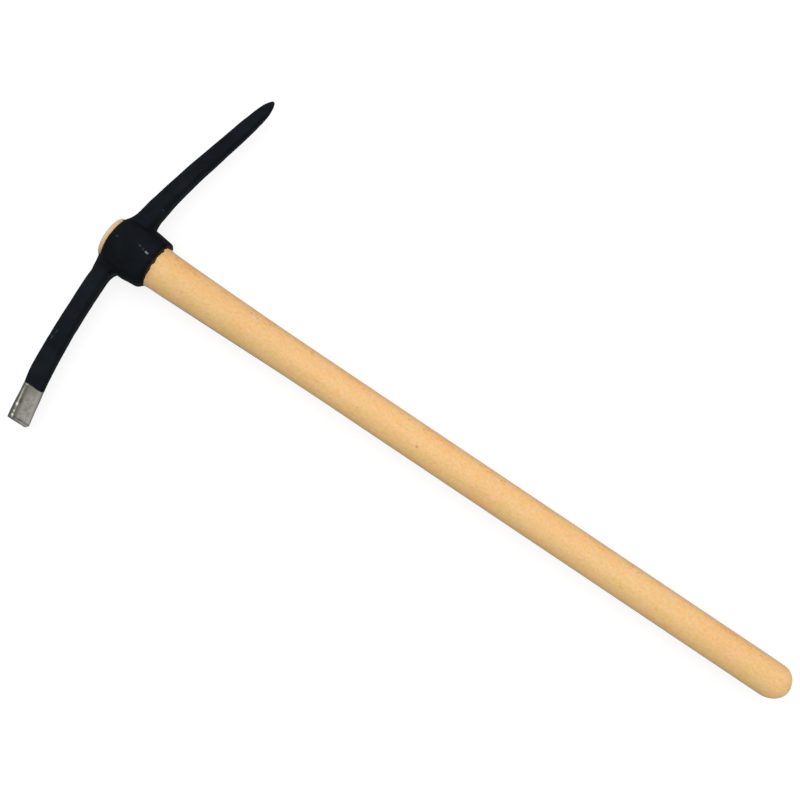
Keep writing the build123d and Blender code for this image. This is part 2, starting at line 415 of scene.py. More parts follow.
# ------------------------------------------------------------------ materials
def black_paint(marks):
    """Thin matt black paint over scaled forged steel, with chips, rubs, a faint blue tint, painted shade
    on the steep sides and a painted reflection of the wood on the lower rim.
    marks: x from the sawn end, y from the axis, length, width (mm), turn (degrees), strength."""
    shade = Shade("black_paint")
    x, y, z = shade.axes(shade.millimetres)
    cloud = shade.noise(24, detail=4, shift=3)
    fine = shade.noise(2.6, detail=5, rough=0.65, shift=9)
    grit = shade.noise(0.55, detail=3, shift=5)
    pits = shade.ramp(shade.noise(1.5, detail=2, shift=17), 0.30, 0.42, 1.0, 0.0)

    colour = shade.mix(shade.ramp(cloud, 0.35, 0.68), *PAINT_TONES)
    dust = shade.times(shade.ramp(shade.noise(9, detail=5, shift=21), 0.52, 0.75), 0.30)
    colour = shade.mix(dust, colour, PAINT_DUST)
    blue = shade.ramp(shade.noise(13, detail=2, shift=33), 0.50, 0.68, 0.0, 0.6)
    colour = shade.mix(blue, colour, PAINT_BLUE)
    # The eye was coated thicker, so it is darker than the arms.
    far = shade.maths("ABSOLUTE", shade.minus(y, axis_y / MM))
    eye = shade.ramp(far, 26, 44, 0.35, 0.0)
    colour = shade.mix(eye, colour, PAINT_ON_EYE)

    # Rubs along the edges that stand out, broken up by the grit.
    edge = shade.attribute("edge")
    edge = shade.plus(edge, shade.ramp(fine, 0.3, 0.75, -0.35, 0.30))
    rubbed = shade.ramp(edge, 0.72, 0.98)
    rubbed = shade.times(rubbed, shade.ramp(shade.noise(16, detail=3, shift=2), 0.46, 0.62))
    # Small chips scattered over all sides.
    spots = shade.cells(15, shift=4).outputs["Distance"]
    ragged = shade.plus(spots, shade.ramp(fine, 0.2, 0.8, -0.05, 0.05))
    chips = shade.ramp(ragged, 0.045, 0.075, 1.0, 0.0)
    chips = shade.times(chips, shade.ramp(shade.noise(30, shift=6), 0.56, 0.62))
    # Hair scratches.
    hairs = shade.cells(7, stretch=(7, 0.22, 1), shift=12).outputs["Distance"]
    hairs = shade.ramp(hairs, 0.05, 0.09, 0.30, 0.0)
    hairs = shade.times(hairs, shade.ramp(shade.noise(22, shift=15), 0.5, 0.6))

    bare = shade.most(shade.times(rubbed, 0.5), shade.times(chips, 0.55))
    bare = shade.most(bare, hairs)
    upper = shade.ramp(z, axis_z / MM, axis_z / MM + 4)
    # The side that lies uppermost has been spared most of the knocks.
    bare = shade.times(bare, shade.ramp(upper, 0.0, 1.0, 1.0, 0.12, smooth=False))
    for along, across, mark_length, width, turn, strength in marks:
        dx = shade.minus(x, sawn_x / MM + along)
        dy = shade.minus(y, axis_y / MM + across)
        c, s = math.cos(math.radians(turn)), math.sin(math.radians(turn))
        run = shade.plus(shade.times(dx, c), shade.times(dy, s))
        side = shade.minus(shade.times(dy, c), shade.times(dx, s))
        side = shade.plus(side, shade.ramp(fine, 0.2, 0.8, -0.5, 0.5, smooth=False))
        run = shade.maths("DIVIDE", run, mark_length / 2)
        side = shade.maths("DIVIDE", side, width / 2)
        away = shade.plus(shade.squared(run), shade.squared(side))
        mark = shade.ramp(away, 0.25, 1.1, strength, 0.0)
        mark = shade.times(mark, shade.ramp(grit, 0.35, 0.6, 0.55, 1.0))
        bare = shade.most(bare, shade.times(mark, upper))
    # Painted shade: the steep sides of the head are darkened where less light falls on them from above.
    side = shade.times(shade.attribute("side"), 0.55)
    colour = shade.mix(side, colour, PAINT_SHADE_ON_SIDES)
    # Painted reflection of the wood beside it, browning the lower rim.
    below = shade.plus(x, shade.ramp(fine, 0.2, 0.8, -0.6, 0.6, smooth=False))
    wood_reflection = shade.ramp(below, rim_x / MM - 2.2, rim_x / MM + 0.2, 0.0, 0.85)
    wood_reflection = shade.times(wood_reflection, shade.ramp(far, 25, 28, 1.0, 0.0))
    colour = shade.mix(wood_reflection, colour, RIM_WOOD_REFLECTION)
    colour = shade.mix(bare, colour, RUBBED_STEEL)

    roughness = shade.ramp(fine, 0.25, 0.75, 0.60, 0.74, smooth=False)
    roughness = shade.minus(roughness, shade.times(bare, 0.22))
    normal = shade.bump(fine, 0.16)
    normal = shade.bump(grit, 0.035, normal)
    normal = shade.bump(pits, 0.05, normal)
    normal = shade.bump(shade.minus(1.0, bare), 0.05, normal)
    fixed = {"Specular IOR Level": 0.02}
    return shade.finish(colour, roughness, normal, **fixed)


def ground_steel():
    """Bare steel left by a grinder: crosswise scratches, mottled heat stain, painted light on a lower
    strip and painted highlights on the ridge and edges.
    """
    shade = Shade("ground_steel")
    x, y = shade.axes(shade.millimetres)[:2]
    lines = shade.noise(0.30, stretch=(14, 1, 1), detail=3, rough=0.7, shift=2)
    coarse = shade.noise(0.9, stretch=(10, 1, 1), detail=3, shift=8)
    mottle = shade.noise(5, detail=6, rough=0.68, shift=4)
    fine = shade.noise(1.2, detail=4, rough=0.7, shift=6)
    near_paint = shade.ramp(y, boundary_y / MM - 16, boundary_y / MM, 0.0, 1.0)

    colour = shade.mix(shade.ramp(mottle, 0.32, 0.68), *STEEL_TONES)
    streaks = shade.ramp(lines, 0.35, 0.70, 0.0, 0.35)
    colour = shade.mix(streaks, colour, STEEL_STREAKS)
    upper = shade.attribute("upper")
    stain = shade.plus(shade.times(near_paint, 0.30), shade.times(upper, 0.45))
    stain = shade.ramp(shade.plus(mottle, stain), 0.58, 0.94, 0.0, 0.85)
    colour = shade.mix(stain, colour, STEEL_STAIN)
    # Painted light: a strip along the lower edge is lightened.
    lower = shade.times(shade.attribute("lower"), shade.ramp(fine, 0.25, 0.7, 0.65, 1.0))
    colour = shade.mix(lower, colour, STEEL_LOWER_LIGHT)
    specks = shade.ramp(shade.noise(1.6, detail=3, shift=13), 0.62, 0.70)
    colour = shade.mix(shade.times(specks, 0.45), colour, STEEL_SPECKS)

    # The facet along the upper edge, the burred ridge beside it and the pits behind the ridge, with
    # painted highlights on the ridge and on the edges that stand out.
    facet = shade.times(shade.attribute("facet"), shade.plus(0.80, shade.times(near_paint, 0.18)))
    colour = shade.mix(facet, colour, STEEL_FACET)
    rough_line = shade.ramp(shade.noise(1.1, stretch=(1, 2.2, 1), detail=3, shift=41), 0.40, 0.60)
    cluster = shade.maths("DIVIDE", shade.minus(y, axis_y / MM + PIT_CLUSTER[0]), PIT_CLUSTER[1])
    cluster = shade.ramp(shade.squared(cluster), 0.3, 1.2, 1.0, 0.0)
    cluster = shade.times(cluster, shade.ramp(fine, 0.36, 0.46))
    rough_line = shade.times(rough_line, 0.30)
    pits = shade.times(shade.attribute("pits"), shade.most(rough_line, cluster))
    band = shade.times(shade.attribute("band"), shade.ramp(mottle, 0.3, 0.6, 0.50, 0.85))
    colour = shade.mix(band, colour, STEEL_BAND)
    colour = shade.mix(pits, colour, STEEL_PITS)
    glint = 0.0
    for along, half, strength, breadth in RIDGE_GLINTS:
        place = shade.maths("DIVIDE", shade.minus(y, axis_y / MM + along), half)
        place = shade.ramp(shade.squared(place), 0.0, 1.2, strength, 0.0)
        place = shade.times(place, shade.attribute(breadth))
        glint = shade.most(glint, place)
    glint = shade.times(glint, shade.ramp(fine, 0.35, 0.55, 0.5, 1.0))
    # Painted highlights on the edges that stand out.
    edge = shade.ramp(shade.attribute("edge"), 0.55, 1.0, 0.0, 0.22)
    shine = shade.most(glint, edge)
    colour = shade.mix(shine, colour, STEEL_GLINT)
    patch_x = shade.minus(x, sawn_x / MM + STEEL_PATCH[0])
    patch_y = shade.minus(y, axis_y / MM + STEEL_PATCH[1])
    spread = shade.plus(shade.squared(patch_x), shade.squared(patch_y))
    patch = shade.ramp(shade.plus(spread, shade.ramp(fine, 0.2, 0.8, -2.0, 2.0)), 1.0, 9.0, 0.60, 0.0)
    colour = shade.mix(patch, colour, STEEL_LIGHTER)
    # Scale is left in the step before the bevel. The lip and the narrow sides carry scale too, darkened
    # further as painted shade along the outline.
    bevel = shade.plus(y, shade.ramp(fine, 0.2, 0.8, -0.35, 0.35, smooth=False))
    bevel = shade.plus(bevel, shade.times(upper, BEVEL_SLANT))
    bevel = shade.minus(bevel, head_low.y / MM + BEVEL_STEP)
    bevel = shade.ramp(shade.squared(bevel), 0.12, 0.90, 0.95, 0.0)
    bevel = shade.times(bevel, shade.ramp(upper, 0.35, 0.75, 1.0, 0.55))
    bevel = shade.times(bevel, shade.ramp(shade.noise(5, detail=3, shift=51), 0.38, 0.52, 0.35, 1.0))
    colour = shade.mix(bevel, colour, SCALE_IN_STEP)
    lip = shade.ramp(y, head_low.y / MM + 0.9, head_low.y / MM + 2.0, 0.88, 0.0)
    colour = shade.mix(lip, colour, SCALE_AND_SHADE_ON_LIP)
    side = shade.times(shade.attribute("side"), shade.ramp(fine, 0.25, 0.7, 1.0, 0.75))
    colour = shade.mix(side, colour, SCALE_AND_SHADE_ON_SIDES)

    roughness = shade.ramp(fine, 0.25, 0.75, 0.44, 0.60, smooth=False)
    roughness = shade.minus(roughness, shade.times(shine, 0.14))
    normal = shade.bump(coarse, 0.06)
    normal = shade.bump(lines, 0.03, normal)
    normal = shade.bump(fine, 0.04, normal)
    normal = shade.bump(shade.minus(1.0, pits), 0.10, normal)
    scale = shade.most(shade.most(lip, side), shade.most(bevel, pits))
    metallic = shade.ramp(scale, 0.1, 0.9, 0.85, 0.05)
    return shade.finish(colour, roughness, normal, metallic=metallic)


def handle_wood(name, tones, pith, spacing, flecks=1.0, knot_list=(), flank_shade=1.0):
    """Pale turned wood. tones: its two colours; pith: how far in y and z the tree's middle lies
    from the handle's axis; spacing: of the growth rings (all in mm); flecks and flank_shade: how
    many dark rays there are and how strong the painted shade on the flanks and behind the head is, from 0
    to 1."""
    shade = Shade(name)
    x, y, z = shade.axes(shade.millimetres)
    bend = shade.noise(17, stretch=(11, 1, 1), detail=2, shift=3)
    wander = shade.noise(46, stretch=(4, 1, 1), detail=1, shift=7)
    dy = shade.minus(y, axis_y / MM + pith[0])
    dz = shade.minus(z, axis_z / MM + pith[1])
    flat = shade.node("ShaderNodeCombineXYZ", {0: 0.0, 1: dy, 2: dz}).outputs[0]
    away = shade.length(flat)
    away = shade.plus(away, shade.ramp(bend, 0, 1, -1.6, 1.6, smooth=False))
    away = shade.plus(away, shade.ramp(wander, 0, 1, -9, 9, smooth=False))
    turns = shade.maths("DIVIDE", away, spacing)
    ring = shade.maths("FRACT", turns)
    late = shade.times(shade.ramp(ring, 0.45, 0.93), shade.ramp(ring, 0.93, 1.0, 1.0, 0.0))

    light, warm = tones
    patch = shade.noise(20, stretch=(3.2, 1, 1), detail=4, rough=0.5, shift=11)
    broad = shade.noise(60, stretch=(2.4, 1, 1), detail=2, shift=19)
    share = shade.plus(shade.ramp(patch, 0.3, 0.7, 0.0, 0.6), shade.ramp(broad, 0.35, 0.65, 0.0, 0.4))
    colour = shade.mix(share, light, warm)
    darker = tuple(c * k for c, k in zip(warm, (0.86, 0.78, 0.66)))
    colour = shade.mix(shade.times(late, 0.11), colour, darker)
    # Soft orange clouds, and greener ones on the side away from them.
    orange = shade.noise(7, stretch=(1.7, 1, 1), detail=4, rough=0.6, shift=61)
    orange = shade.plus(orange, shade.ramp(dy, -pith[0] - 12, -pith[0] + 18, -0.06, 0.06))
    orange = shade.ramp(orange, 0.46, 0.66, 0.0, 0.80)
    colour = shade.mix(orange, colour, WOOD_ORANGE)
    olive = shade.noise(11, stretch=(2.0, 1, 1), detail=4, rough=0.6, shift=71)
    olive = shade.plus(olive, shade.ramp(dy, -pith[0] - 18, -pith[0] + 6, 0.10, -0.04))
    olive = shade.ramp(olive, 0.50, 0.68, 0.0, 0.72)
    colour = shade.mix(olive, colour, WOOD_OLIVE)
    pink = shade.noise(8, stretch=(1.5, 1, 1), detail=3, shift=91)
    pink = shade.ramp(pink, 0.54, 0.70, 0.0, 0.60)
    colour = shade.mix(pink, colour, WOOD_PINK)
    mottle = shade.noise(2.6, stretch=(1.5, 1, 1), detail=4, rough=0.6, shift=101)
    colour = shade.mix(shade.ramp(mottle, 0.50, 0.70, 0.0, 0.42), colour, darker)
    colour = shade.mix(shade.ramp(mottle, 0.30, 0.50, 0.40, 0.0), colour, WOOD_PALE)

    fibres = shade.noise(0.34, stretch=(60, 1, 1), detail=3, rough=0.6, shift=5)
    threads = shade.noise(0.9, stretch=(34, 1, 1), detail=3, rough=0.6, shift=25)
    colour = shade.mix(shade.ramp(fibres, 0.52, 0.80, 0.0, 0.20), colour, darker)
    colour = shade.mix(shade.ramp(threads, 0.56, 0.78, 0.0, 0.16), colour, darker)

    # Short dark rays, thickest along one side of the handle.
    rays = shade.cells(2.2, stretch=(2.1, 0.62, 0.62), shift=8)
    ragged = shade.noise(1.0, stretch=(2, 1, 1), detail=3, shift=18)
    away = shade.plus(rays.outputs["Distance"], shade.ramp(ragged, 0.2, 0.8, -0.14, 0.14, smooth=False))
    ray = shade.ramp(away, 0.14, 0.40, 1.0, 0.0)
    halo = shade.ramp(away, 0.25, 0.95, 1.0, 0.0)
    chosen = shade.axes(rays.outputs["Color"])[0]
    side = shade.ramp(dy, -pith[0] + 12.5, -pith[0] + 18, 0.004, 0.70)
    clusters = shade.noise(34, stretch=(1, 2, 2), detail=2, shift=81)
    side = shade.times(side, shade.ramp(clusters, 0.44, 0.58, 0.12, 1.0))
    side = shade.times(side, flecks)
    chosen = shade.maths("LESS_THAN", chosen, side)
    ray = shade.times(shade.times(ray, chosen), 0.55)
    halo = shade.times(shade.times(halo, chosen), 0.75)
    colour = shade.mix(halo, colour, FLECK_HALO)
    colour = shade.mix(ray, colour, FLECK_BROWN)
    # A few pin knots.
    knots = 0.0
    for along, across, radius, strength in knot_list:
        dx = shade.minus(x, sawn_x / MM + along)
        here = shade.minus(y, axis_y / MM + across)
        above = shade.maths("GREATER_THAN", z, axis_z / MM)
        spread = shade.plus(shade.squared(dx), shade.squared(here))
        reach = shade.plus(shade.maths("SQRT", spread), shade.ramp(mottle, 0.3, 0.7, -0.6, 0.6))
        knot = shade.ramp(reach, radius * 0.2, radius * 1.1, strength, 0.0)
        knots = shade.most(knots, shade.times(knot, above))
    colour = shade.mix(knots, colour, KNOT_BROWN)

    # The flanks are darkened as painted shade, and a painted shadow runs along the chisel's side behind
    # the head.
    height = shade.minus(z, axis_z / MM)
    flank = shade.ramp(height, 4.0, 14.0, 0.36 * flank_shade, 0.0)
    flank = shade.times(flank, shade.ramp(height, -14.0, 4.0, 0.35, 1.0))
    flank = shade.times(flank, shade.ramp(mottle, 0.3, 0.7, 1.25, 0.75, smooth=False))
    colour = shade.mix(flank, colour, WOOD_FLANK_SHADE)
    u = shade.minus(x, sawn_x / MM)
    # Painted shadow: a dark line along the flank on the chisel's side, behind the head.
    neck_shadow = shade.times(shade.ramp(u, 62, 130), shade.ramp(u, 190, 275, 1.0, 0.14))
    rise = shade.plus(height, shade.ramp(threads, 0.3, 0.7, -0.8, 0.8, smooth=False))
    neck_shadow = shade.times(neck_shadow, shade.ramp(rise, 3.5, 9.0, 0.50 * flank_shade, 0.0))
    neck_shadow = shade.times(neck_shadow, shade.ramp(rise, -1.5, 1.5))
    neck_shadow = shade.times(neck_shadow, shade.maths("LESS_THAN", y, axis_y / MM))
    colour = shade.mix(neck_shadow, colour, NECK_SHADOW)

    # The neck is a little darker towards the head, and handling dirt lies thickly where the wood meets the
    # eye.
    colour = shade.mix(shade.ramp(u, 150, 330, 0.07, 0.0), colour, NECK_DARKER)
    grime = shade.ramp(x, rim_x / MM, rim_x / MM + 9, 1.0, 0.0)
    grime = shade.times(grime, shade.ramp(shade.noise(4, detail=4, shift=31), 0.35, 0.75))
    colour = shade.mix(shade.times(grime, 0.35), colour, NECK_GRIME)

    # The end that stands out of the eye is sawn and paler.
    pale = shade.ramp(x, sawn_x / MM + 1.8, sawn_x / MM + 5.0, 0.80, 0.0)
    colour = shade.mix(pale, colour, SAWN_PALE)
    rim = shade.minus(x, sawn_x / MM + 0.7)
    rim = shade.ramp(shade.squared(rim), 0.05, 0.9, 0.45, 0.0)
    rim = shade.times(rim, shade.ramp(mottle, 0.35, 0.6, 0.4, 1.0))
    colour = shade.mix(rim, colour, SAWN_RIM)

    # The saw laid the growth rings bare and left its own fine lines across them.
    sawn = shade.ramp(x, sawn_x / MM + 0.4, sawn_x / MM + 1.1, 1.0, 0.0)
    colour = shade.mix(shade.times(sawn, shade.times(late, 0.42)), colour, darker)
    cuts = shade.noise(0.5, stretch=(1, 26, 1), detail=2, shift=111)
    cuts = shade.times(shade.ramp(cuts, 0.50, 0.66, 0.0, 0.35), sawn)
    colour = shade.mix(cuts, colour, SAWN_CUTS)

    roughness = shade.ramp(threads, 0.3, 0.7, 0.50, 0.64, smooth=False)
    normal = shade.bump(fibres, 0.05)
    normal = shade.bump(shade.minus(1.0, cuts), 0.10, normal)
    normal = shade.bump(threads, 0.06, normal)
    normal = shade.bump(shade.minus(1.0, late), 0.03, normal)
    normal = shade.bump(shade.minus(1.0, ray), 0.04, normal)
    fixed = {"Specular IOR Level": 0.28}
    return shade.finish(colour, roughness, normal, **fixed)


def wedge_steel():
    """The end of the steel wedge: hammered, with grey scale and a little rust."""
    shade = Shade("wedge_steel")
    mottle = shade.noise(3, detail=5, rough=0.62, shift=4)
    fine = shade.noise(0.7, detail=4, rough=0.7, shift=6)
    colour = shade.mix(shade.ramp(mottle, 0.35, 0.65), *WEDGE_STEEL_TONES)
    rust = shade.ramp(shade.noise(4, detail=5, shift=12), 0.58, 0.74)
    colour = shade.mix(shade.times(rust, 0.6), colour, WEDGE_RUST)
    roughness = shade.ramp(fine, 0.25, 0.75, 0.38, 0.62, smooth=False)
    normal = shade.bump(fine, 0.05)
    return shade.finish(colour, roughness, normal, metallic=0.85)


# -------------------------------------------------------------------- handle
def smooth_between(xs, known_x, known_r):
    """A curve through the known radii that never overshoots them (monotone cubic)."""
    step = np.diff(known_x)
    slope = np.diff(known_r) / step
    tangent = np.zeros(len(known_x))
    tangent[0], tangent[-1] = 1.5 * slope[0], 0
    for i in range(1, len(slope)):
        if slope[i - 1] * slope[i] > 0:
            tangent[i] = 2 / (1 / slope[i - 1] + 1 / slope[i])
    i = np.clip(np.searchsorted(known_x, xs) - 1, 0, len(step) - 1)
    t = (xs - known_x[i]) / step[i]
    return (
        (2 * t**3 - 3 * t**2 + 1) * known_r[i]
        + (t**3 - 2 * t**2 + t) * step[i] * tangent[i]
        + (3 * t**2 - 2 * t**3) * known_r[i + 1]
        + (t**3 - t**2) * step[i] * tangent[i + 1]
    )


def handle_rings():
    """Radius along the handle, read off the full rings of the CAD node's own mesh."""
    points = points_of(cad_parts["handle"].data)
    radius = np.hypot(points[:, 1] - axis_y, points[:, 2] - axis_z)
    grid = 0.01 * MM
    keys, counts = np.unique(
        np.round(np.stack([points[:, 0], radius], axis=1) / grid), axis=0, return_counts=True
    )
    full = keys[counts >= 12] * grid
    tenon = full[:, 0] < 0
    full = full[~tenon | (full[:, 1] > 20 * MM)]
    return full[np.lexsort((full[:, 1], full[:, 0]))]


def handle_stations():
    """(x, radius) from the middle of the sawn end, along the handle, to the middle of the butt."""
    rings = handle_rings()
    chamfer = rings[rings[:, 0] < sawn_x + 2 * MM]
    at_rim = rings[np.abs(rings[:, 0] - rim_x) < 0.2 * MM][0]
    tenon = rings[(rings[:, 0] >= chamfer[-1][0]) & (rings[:, 0] <= at_rim[0])]
    neck = rings[(rings[:, 0] >= at_rim[0]) & (rings[:, 0] <= 0)]
    grip_end = rings[(rings[:, 0] > 0) & (rings[:, 1] > neck[-1][1] - 0.005 * MM)][-1]
    butt = rings[rings[:, 0] > grip_end[0]]

    stations = [(sawn_x, r) for r in np.linspace(0, chamfer[0][1], 30)]
    spread = np.arange(tenon[0][0], at_rim[0] - 3 * MM, 0.8 * MM)
    wedged = np.arange(at_rim[0] - 3 * MM, at_rim[0], 0.4 * MM)
    for xs in (spread, wedged):
        stations += list(zip(xs, np.interp(xs, tenon[:, 0], tenon[:, 1])))
    near = np.arange(at_rim[0], at_rim[0] + 8 * MM, 0.4 * MM)
    far = np.arange(at_rim[0] + 8 * MM, neck[-1][0], 1.5 * MM)
    for xs in (near, far):
        stations += list(zip(xs, smooth_between(xs, neck[:, 0], neck[:, 1])))
    stations += [(x, neck[-1][1]) for x in np.arange(neck[-1][0], grip_end[0], 1.5 * MM)]
    stations += [tuple(grip_end)] + [tuple(ring) for ring in butt]
    stations.append((butt_x, 0.0))
    return np.array(stations)


def lathe(stations, turns):
    """A closed mesh turned about the handle's axis; the first and last stations are its poles."""
    angles = np.arange(turns) * 2 * math.pi / turns
    body = stations[1:-1]
    x = np.repeat(body[:, 0], turns)
    r = np.repeat(body[:, 1], turns)
    a = np.tile(angles, len(body))
    points = np.stack([x, axis_y + r * np.cos(a), axis_z + r * np.sin(a)], axis=1)
    poles = [(stations[0][0], axis_y, axis_z), (stations[-1][0], axis_y, axis_z)]
    points = np.concatenate([points, poles])
    faces = []
    for i in range(len(body) - 1):
        for k in range(turns):
            after = (k + 1) % turns
            faces.append((i * turns + k, i * turns + after, (i + 1) * turns + after, (i + 1) * turns + k))
    first, last = len(points) - 2, len(points) - 1
    top = (len(body) - 1) * turns
    for k in range(turns):
        after = (k + 1) % turns
        faces.append((first, after, k))
        faces.append((last, top + k, top + after))
    mesh = bpy.data.meshes.new("turned")
    mesh.from_pydata([tuple(p) for p in points], [], faces)
    mesh.update()
    return mesh


def inflated(node, thickness):
    """A copy of a CAD node, a little larger all round, to cut its slot with."""
    mesh = cut_copy(node)
    work = bmesh.new()
    work.from_mesh(mesh)
    bmesh.ops.recalc_face_normals(work, faces=work.faces)
    low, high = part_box(node)
    half = (high - low) / 2
    for vertex in work.verts:
        away = vertex.co - (low + high) / 2
        for k in range(3):
            vertex.co[k] += thickness * away[k] / half[k]
    work.to_mesh(mesh)
    work.free()
    holder = bpy.data.objects.new(node + "_cutter", mesh)
    scene.collection.objects.link(holder)
    return holder


def build_handle(material):
    """The handle turned anew from the CAD node's own radii, with what sanding, driving and
    sawing did to it, and with the slots for its wedges."""
    mesh = lathe(handle_stations(), 144)
    points = points_of(mesh)
    offset = points - np.array([0, axis_y, axis_z])
    offset[:, 0] = 0
    radius = np.linalg.norm(offset, axis=1)
    outward = offset / np.maximum(radius, 1e-9)[:, None]
    x = points[:, 0]

    # Turned and sanded by eye: the section is never quite round.
    push = 0.16 * MM * wobble(points, 34 * MM, 1, stretch=(5, 1, 1))
    push += 0.05 * MM * wobble(points, 9 * MM, 2, stretch=(6, 1, 1))
    side = radius > 15 * MM
    push[~side | (x < sawn_x + 1 * MM)] = 0
    # Wood shaved up by the rim as the head was driven on: a low bead all round, and a torn
    # collar on the side of the point.
    past = (x - rim_x) / MM
    ragged = wobble(points, 5 * MM, 3, stretch=(20, 1, 1))
    ragged += 0.6 * wobble(points, 1.8 * MM, 4, stretch=(20, 1, 1))
    bead = np.where(past > -0.5, np.exp(-((past - 0.5) / 0.9) ** 2), 0)
    push += RIM_BEAD * MM * bead * np.clip(ragged + 0.15, 0, 1)
    across = (points[:, 1] - axis_y) / MM
    torn = np.clip((across - 6) / 11, 0, 1) * np.clip(1.1 + 0.5 * ragged, 0, 1.3)
    rising = np.clip((past + 2.4) / 1.4, 0, 1)
    collar = rising * np.where(past > -0.6, np.exp(-np.clip(past + 0.6, 0, None) / 3.4), 1)
    push += TORN_COLLAR * MM * torn * collar
    # The wedges spread the very end, the neck is a little full on the chisel's side, and the
    # butt is rounded less on the point's side.
    u = (x - sawn_x) / MM
    lateral = outward[:, 1]
    push += np.where(side, END_SPREAD * MM * np.clip(1 - u / 4.5, 0, 1), 0)
    push += NECK_FULL * MM * bell(u, 60, 95, 170, 250) * np.clip(-lateral, 0, 1)
    push += SHOULDER_FULL * MM * bell(u, 877, 889, 892, 900) * np.clip(lateral, 0, 1)
    points += outward * push[:, None]
    # The saw left the end slightly uneven.
    face = x < sawn_x + 0.01 * MM
    uneven = np.abs(wobble(points, 2.2 * MM, 5, stretch=(1, 1, 5))) + np.abs(wobble(points, 9 * MM, 6))
    points[:, 0] += np.where(face & (radius < 21 * MM), 0.10 * MM * uneven, 0)
    set_points(mesh, points)

    for cutter in (inflated("wood_wedge", SLOT_GAP * MM), inflated("steel_wedge", SLOT_GAP * MM)):
        mesh = changed_by(mesh, "BOOLEAN", operation="DIFFERENCE", object=cutter, solver="EXACT")
        bpy.data.objects.remove(cutter)
    return add_piece("handle_turned", mesh, material, "handle_wood", "handle")


def build_wedge(name, node, material, slot, voxel, seed):
    """A wedge with its corners crushed a little by the hammer, just below the sawn face."""
    mesh = changed_by(cut_copy(node), "REMESH", mode="VOXEL", voxel_size=voxel)
    relax(mesh, 3)
    points = points_of(mesh)
    face = points[:, 0] < sawn_x + 0.9 * MM
    dents = np.abs(wobble(points, 3 * MM, seed)) + 0.5 * np.abs(wobble(points, 1.1 * MM, seed + 1))
    points[:, 0] += np.where(face, 0.16 * MM * dents + 0.03 * MM, 0)
    set_points(mesh, points)
    return add_piece(name, mesh, material, slot, node)


# ---------------------------------------------------------------------- head
def dressed(points, normals):
    """How the smith's hand departs from the true form, in metres: the rims drawn out by the
    punch, the eye set over towards the point, and the arms left full along their upper edges."""
    u = (points[:, 0] - sawn_x) / MM
    v = (points[:, 1] - axis_y) / MM
    eye = eased((44 - np.abs(v)) / 10)
    drawn = np.interp(v, RIM_ACROSS, RIM_DRAWN)
    along = drawn * eased((u - 54) / 5) * eye - UPPER_RIM_DRAWN * eased((12 - u) / 8) * eye
    to_point, to_chisel = bell(v, 16, 25, 34, 46), bell(-v, 16, 25, 34, 46)
    drawn_in = EYE_IN_BELOW[0] * eased((u - 52) / 5) + EYE_IN_BELOW[1] * eased((u - 56) / 3)
    across = EYE_OUT_TO_POINT * to_point * bell(u, 22, 34, 66, 72)
    across -= EYE_OUT_TO_CHISEL * to_chisel * bell(u, 20, 27, 36, 44)
    across += to_chisel * drawn_in
    full = CHISEL_ARM_FULL * bell(-v, 38, 52, 165, 183)
    full += np.interp(v, ARM_ALONG, ARM_FULL)
    along -= full * np.clip(-normals[:, 0] * 1.4, 0, 1)
    along += TIP_FULL * bell(v, 198, 212, 218, 224) * np.clip(normals[:, 0] * 1.4, 0, 1)
    return np.stack([along, across, 0 * along], axis=1) * MM


def build_painted_head(material):
    """The forging down to the paint's edge: remeshed finely, hammered, dressed and cut off square."""
    mesh = cut_copy("pick_head", boundary_y - 4 * MM, keep_above=True)
    mesh = changed_by(mesh, "REMESH", mode="VOXEL", voxel_size=0.6 * MM)
    relax(mesh, 5)
    points, normals = points_of(mesh), normals_of(mesh)
    # Forging and grinding never leave a true surface: shallow hollows and hammer flats.
    hollow = np.clip(wobble(points, 22 * MM, 11), -1, 0) * 0.30
    flats = np.clip(wobble(points, 8 * MM, 12), -0.6, 0.1) * 0.16
    skin = wobble(points, 2.4 * MM, 13) * 0.035
    points += normals * ((hollow + flats + skin - 0.05) * MM)[:, None]
    points += dressed(points, normals)
    set_points(mesh, points)
    mesh = trimmed(mesh, boundary_y)
    points = points_of(mesh)
    # The paint ends in a hand-masked line.
    near = np.clip(1 - (points[:, 1] - boundary_y) / (2.5 * MM), 0, 1)
    points[:, 1] += near * MM * (0.35 * wobble(points, 5 * MM, 14) - PAINT_RUN)
    set_points(mesh, points)
    worn_edges(mesh, 6, 0.30 * MM)
    # How steep each face is, for the painted shade on the head's sides.
    store(mesh, "side", eased((0.84 - np.abs(normals_of(mesh)[:, 2])) / 0.38))
    return add_piece("pick_head_painted", mesh, material, "head_paint", "pick_head")


